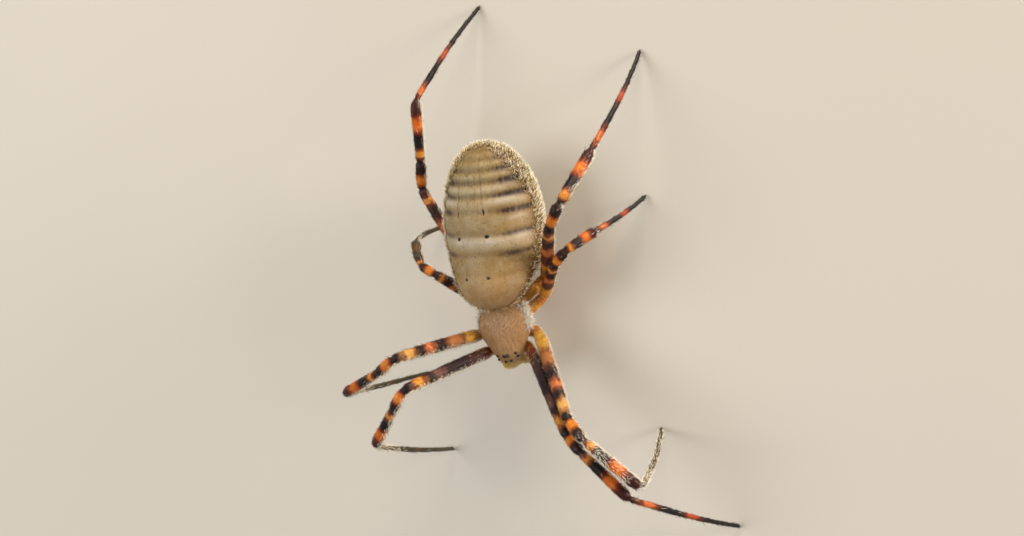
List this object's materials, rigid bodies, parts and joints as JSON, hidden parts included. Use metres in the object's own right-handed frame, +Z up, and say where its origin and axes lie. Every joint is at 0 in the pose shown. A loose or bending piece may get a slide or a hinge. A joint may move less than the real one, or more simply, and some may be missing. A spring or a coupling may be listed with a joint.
{
  "type": "orb weaver spider",
  "caption": "Life-size banded garden spider standing on slim banded legs, with a large pale barred abdomen, as a museum-style still model",
  "frame": {"origin": "on the floor under the middle of the bounding box, with every foot on z = 0", "axes": "-Y is the way the spider faces, +X its left side, +Z up"},
  "size_m": [0.035, 0.052, 0.0157],
  "materials": {
    "skin": "hairy cuticle: silver-cream abdomen with fine dark bars, orange legs with black rings",
    "eyes": "wet gloss black"
  },
  "bodies": {
    "root": {"abdomen": "skin", "carapace": "skin", "sternum": "skin", "pedicel": "skin", "spinnerets": "skin", "left_chelicera": "skin", "left_palp": "skin", "left_leg_1_coxa": "skin", "left_leg_1_femur": "skin", "left_leg_1_patella": "skin", "left_leg_1_tibia": "skin", "left_leg_1_foot": "skin", "left_leg_2_coxa": "skin", "left_leg_2_femur": "skin", "left_leg_2_patella": "skin", "left_leg_2_tibia": "skin", "left_leg_2_foot": "skin", "left_leg_3_coxa": "skin", "left_leg_3_femur": "skin", "left_leg_3_patella": "skin", "left_leg_3_tibia": "skin", "left_leg_3_foot": "skin", "left_leg_4_coxa": "skin", "left_leg_4_femur": "skin", "left_leg_4_patella": "skin", "left_leg_4_tibia": "skin", "left_leg_4_foot": "skin", "right_chelicera": "skin", "right_palp": "skin", "right_leg_1_coxa": "skin", "right_leg_1_femur": "skin", "right_leg_1_patella": "skin", "right_leg_1_tibia": "skin", "right_leg_1_foot": "skin", "right_leg_2_coxa": "skin", "right_leg_2_femur": "skin", "right_leg_2_patella": "skin", "right_leg_2_tibia": "skin", "right_leg_2_foot": "skin", "right_leg_3_coxa": "skin", "right_leg_3_femur": "skin", "right_leg_3_patella": "skin", "right_leg_3_tibia": "skin", "right_leg_3_foot": "skin", "right_leg_4_coxa": "skin", "right_leg_4_femur": "skin", "right_leg_4_patella": "skin", "right_leg_4_tibia": "skin", "right_leg_4_foot": "skin", "left_eye_anterior_median": "eyes", "left_eye_posterior_median": "eyes", "left_eye_anterior_lateral": "eyes", "left_eye_posterior_lateral": "eyes", "right_eye_anterior_median": "eyes", "right_eye_posterior_median": "eyes", "right_eye_anterior_lateral": "eyes", "right_eye_posterior_lateral": "eyes"}
  },
  "joints": []
}
